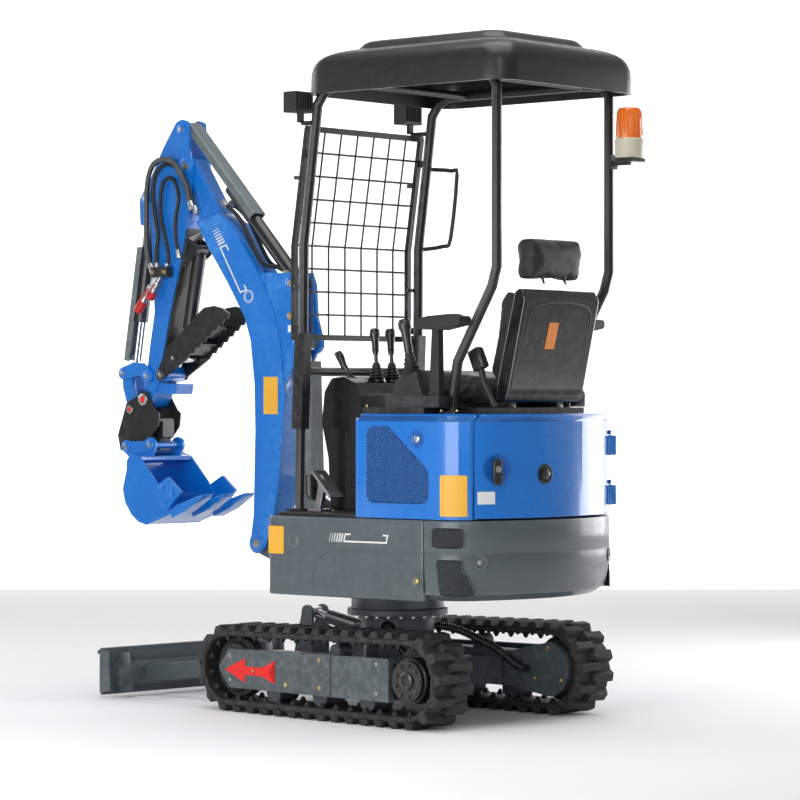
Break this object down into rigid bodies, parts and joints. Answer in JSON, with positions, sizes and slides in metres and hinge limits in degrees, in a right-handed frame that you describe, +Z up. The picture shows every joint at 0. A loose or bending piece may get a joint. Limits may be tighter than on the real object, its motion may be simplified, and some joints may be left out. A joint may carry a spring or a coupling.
{
  "type": "mini excavator",
  "caption": "Compact tracked excavator with a canopy, a jointed digging arm with bucket and thumb, and a small dozer blade.",
  "frame": {"origin": "On the ground, under the middle of the machine's bounding box", "axes": "Machine front is -Y, its left side is +X, up is +Z. The upper structure is square to the axes and the undercarriage is turned 4.6 degrees clockwise under it, seen from above"},
  "size_m": [1.0216, 2.1901, 2.385],
  "materials": {
    "beacon_orange": "gloss",
    "black_paint": "satin",
    "black_plastic": "matte",
    "blue_paint": "gloss",
    "cast_iron": "rough",
    "guard_grey": "satin",
    "rod_steel": "polished",
    "rubber": "matte",
    "slate_paint": "satin",
    "vinyl": "matte"
  },
  "bodies": {
    "undercarriage": {"chassis": "slate_paint", "side_frame_left": "slate_paint", "side_frame_right": "slate_paint", "track_left": "rubber", "track_right": "rubber", "sprocket_left": "black_paint", "sprocket_right": "black_paint", "idler_left": "cast_iron", "idler_right": "cast_iron", "travel_hoses_left": "rubber", "travel_hoses_right": "rubber"},
    "blade": {"dozer_blade": "slate_paint"},
    "blade_barrel": {"blade_cylinder_barrel": "black_paint"},
    "blade_rod": {"blade_cylinder_rod": "rod_steel"},
    "upper": {"platform": "slate_paint", "floor_mat": "rubber", "side_panel_left": "slate_paint", "side_panel_right": "slate_paint", "counterweight": "slate_paint", "engine_hood": "blue_paint", "engine_block": "cast_iron", "canopy_frame": "black_paint", "canopy_roof": "black_plastic", "front_guard": "black_paint", "grab_handle": "black_paint", "work_light_left": "black_paint", "work_light_right": "black_paint", "beacon": "beacon_orange", "front_console": "black_plastic", "side_console_left": "black_plastic", "side_console_right": "black_plastic", "joystick_left": "black_plastic", "joystick_right": "black_plastic", "foot_pedal": "rod_steel", "seat_mounting": "black_paint", "seat_cushion": "vinyl", "seat_back": "vinyl", "seat_shell": "black_plastic", "headrest": "vinyl"},
    "rear_door": {"rear_door": "blue_paint"},
    "boom": {"boom": "blue_paint"},
    "boom_barrel": {"boom_cylinder_barrel": "black_paint"},
    "boom_rod": {"boom_cylinder_rod": "guard_grey"},
    "arm_barrel": {"arm_cylinder_barrel": "black_paint"},
    "arm_rod": {"arm_cylinder_rod": "guard_grey"},
    "arm": {"arm": "blue_paint", "thumb_bracket": "black_paint", "arm_hose_set": "rubber"},
    "bucket_barrel": {"bucket_cylinder_barrel": "black_paint"},
    "bucket_rod": {"bucket_cylinder_rod": "guard_grey"},
    "rocker": {"rocker_links": "blue_paint"},
    "link": {"bucket_link": "blue_paint"},
    "bucket": {"quick_coupler": "black_paint", "bucket": "blue_paint"},
    "thumb": {"thumb": "black_paint"},
    "thumb_barrel": {"thumb_cylinder_barrel": "black_paint"},
    "thumb_rod": {"thumb_cylinder_rod": "rod_steel"}
  },
  "joints": [
    {"name": "slew", "type": "hinge", "parent": "undercarriage", "child": "upper", "pos_m": [0.0187, 0.257, 0.4], "axis": [0, 0, 1], "continuous": true},
    {"name": "rear_door", "type": "hinge", "parent": "upper", "child": "rear_door", "pos_m": [-0.3753, 0.898, 0.88], "axis": [0, 0, 1], "range_deg": [0, 100]},
    {"name": "blade_lift", "type": "hinge", "parent": "undercarriage", "child": "blade", "pos_m": [-0.00295, -0.01213, 0.165], "axis": [-0.9968, 0.0802, 0], "range_deg": [-12, 18]},
    {"name": "boom_pivot", "type": "hinge", "parent": "upper", "child": "boom", "pos_m": [0.0187, -0.375, 0.577], "axis": [1, 0, 0], "range_deg": [-8, 52]},
    {"name": "arm_pivot", "type": "hinge", "parent": "boom", "child": "arm", "pos_m": [0.0187, -0.742, 1.974], "axis": [-1, 0, 0], "range_deg": [-3, 80]},
    {"name": "bucket_pivot", "type": "hinge", "parent": "arm", "child": "bucket", "pos_m": [0.0187, -0.958, 1.102], "axis": [-1, 0, 0], "range_deg": [-40, 70]},
    {"name": "thumb_pivot", "type": "hinge", "parent": "arm", "child": "thumb", "pos_m": [0.0187, -0.861, 1.194], "axis": [-1, 0, 0], "range_deg": [0, 65]},
    {"name": "blade_barrel_turn", "type": "hinge", "parent": "undercarriage", "child": "blade_barrel", "pos_m": [0.00539, 0.09154, 0.285], "axis": [0.9968, -0.0802, 0], "range_deg": [-13.09, 8.89]},
    {"name": "blade_rod_slide", "type": "slide", "parent": "blade_barrel", "child": "blade_rod", "axis": [-0.079, -0.9821, 0.1712], "range_m": [-0.04446, 0.02998]},
    {"name": "boom_barrel_turn", "type": "hinge", "parent": "upper", "child": "boom_barrel", "pos_m": [0.0187, -0.153, 0.722], "axis": [1, 0, 0], "range_deg": [-8.95, 55.43]},
    {"name": "boom_rod_slide", "type": "slide", "parent": "boom_barrel", "child": "boom_rod", "axis": [0, -0.0343, 0.9994], "range_m": [-0.03684, 0.23396]},
    {"name": "arm_barrel_turn", "type": "hinge", "parent": "boom", "child": "arm_barrel", "pos_m": [0.0187, -0.211, 1.523], "axis": [1, 0, 0], "range_deg": [-6.46, 0.72]},
    {"name": "arm_rod_slide", "type": "slide", "parent": "arm_barrel", "child": "arm_rod", "axis": [0, -0.6851, 0.7284], "range_m": [-0.16147, 0.00702]},
    {"name": "bucket_barrel_turn", "type": "hinge", "parent": "arm", "child": "bucket_barrel", "pos_m": [0.0187, -0.955, 1.862], "axis": [1, 0, 0], "range_deg": [-1.06, 1.49]},
    {"name": "bucket_rod_slide", "type": "slide", "parent": "bucket_barrel", "child": "bucket_rod", "axis": [0, -0.1644, -0.9864], "range_m": [-0.0972, 0.05597]},
    {"name": "thumb_barrel_turn", "type": "hinge", "parent": "arm", "child": "thumb_barrel", "pos_m": [0.0187, -0.715, 1.66], "axis": [1, 0, 0], "range_deg": [-0.5, 5.75]},
    {"name": "thumb_rod_slide", "type": "slide", "parent": "thumb_barrel", "child": "thumb_rod", "axis": [0, -0.1947, -0.9809], "range_m": [-0.001, 0.08549]},
    {"name": "rocker_turn", "type": "hinge", "parent": "arm", "child": "rocker", "pos_m": [0.0187, -0.936, 1.189], "axis": [1, 0, 0], "range_deg": [-47.42, 27.31]},
    {"name": "link_turn", "type": "hinge", "parent": "rocker", "child": "link", "pos_m": [0.0187, -1.065, 1.202], "axis": [1, 0, 0], "range_deg": [-15.18, 26.19]}
  ],
  "couplings": [
    {"joint": "blade_barrel_turn", "follows": "blade_lift", "ratio": -0.69933},
    {"joint": "blade_rod_slide", "follows": "blade_lift", "m_per_rad": -0.13835},
    {"joint": "boom_barrel_turn", "follows": "boom_pivot", "ratio": 1.0563},
    {"joint": "boom_rod_slide", "follows": "boom_pivot", "m_per_rad": 0.25668},
    {"joint": "arm_barrel_turn", "follows": "arm_pivot", "ratio": -0.07454},
    {"joint": "arm_rod_slide", "follows": "arm_pivot", "m_per_rad": -0.11493},
    {"joint": "bucket_barrel_turn", "follows": "bucket_pivot", "ratio": 0.014076},
    {"joint": "bucket_rod_slide", "follows": "bucket_pivot", "m_per_rad": -0.078744},
    {"joint": "thumb_barrel_turn", "follows": "thumb_pivot", "ratio": 0.080816},
    {"joint": "thumb_rod_slide", "follows": "thumb_pivot", "m_per_rad": 0.074473},
    {"joint": "rocker_turn", "follows": "bucket_pivot", "ratio": -0.67034},
    {"joint": "link_turn", "follows": "bucket_pivot", "ratio": 0.36697}
  ]
}
